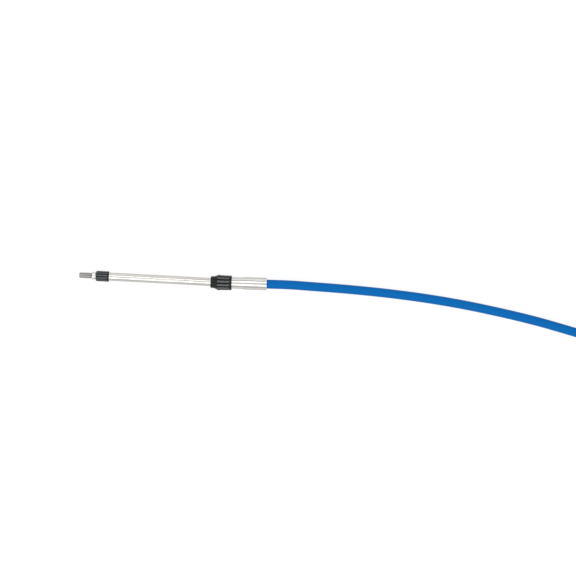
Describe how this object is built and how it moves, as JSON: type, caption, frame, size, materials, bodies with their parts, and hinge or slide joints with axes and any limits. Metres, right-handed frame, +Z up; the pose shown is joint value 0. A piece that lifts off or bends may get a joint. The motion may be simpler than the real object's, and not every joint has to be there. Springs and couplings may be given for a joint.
{
  "type": "push-pull control cable",
  "caption": "Push-pull boat control cable: blue jacketed conduit with a threaded rod end, polished sleeve, rubber swivel boot and hub at each end.",
  "frame": {"origin": "centre of rod end A's flat front face, on the axis of end A, 6.1 mm over the floor that the cable lies on", "axes": "+X along end A from the rod's tip towards the conduit, +Z up from the floor"},
  "size_m": [0.6958, 0.0939, 0.0205],
  "materials": {
    "rod_steel": "turned stainless steel with a rolled thread",
    "sleeve_steel": "drawn stainless steel tube, polished",
    "hub_steel": "stainless steel, bright polished and swaged",
    "black_rubber": "moulded ribbed rubber, satin",
    "blue_jacket": "extruded smooth jacket, semi-gloss",
    "black_nylon": "moulded nylon strap, satin"
  },
  "bodies": {
    "root": {"hub_a": "hub_steel", "swivel_boot_a": "black_rubber", "conduit_run": "blue_jacket", "conduit_coil": "blue_jacket", "conduit_tail": "blue_jacket", "coil_strap_1": "black_nylon", "coil_strap_2": "black_nylon", "coil_strap_3": "black_nylon", "hub_b": "hub_steel", "swivel_boot_b": "black_rubber"},
    "swivel_tube_a": {"sleeve_a": "sleeve_steel", "rod_seal_a": "black_rubber"},
    "push_rod_a": {"rod_a": "rod_steel"},
    "swivel_tube_b": {"sleeve_b": "sleeve_steel", "rod_seal_b": "black_rubber"},
    "push_rod_b": {"rod_b": "rod_steel"}
  },
  "joints": [
    {"name": "swivel_a", "type": "hinge", "parent": "root", "child": "swivel_tube_a", "pos_m": [0.1118, 0, 0], "axis": [0, 0, 1], "range_deg": [-6.85, 9.15], "deforming": ["swivel_boot_a"]},
    {"name": "rod_slide_a", "type": "slide", "parent": "swivel_tube_a", "child": "push_rod_a", "axis": [-1, 0, 0], "range_m": [0, 0.0762]},
    {"name": "swivel_b", "type": "hinge", "parent": "root", "child": "swivel_tube_b", "pos_m": [0.50838, -0.02823, 0], "axis": [0, 0, 1], "range_deg": [-8, 8], "deforming": ["swivel_boot_b"]},
    {"name": "rod_slide_b", "type": "slide", "parent": "swivel_tube_b", "child": "push_rod_b", "axis": [0.9962, 0.0872, 0], "range_m": [-0.0762, 0]}
  ],
  "couplings": [
    {"joint": "rod_slide_b", "follows": "rod_slide_a", "ratio": -1}
  ]
}
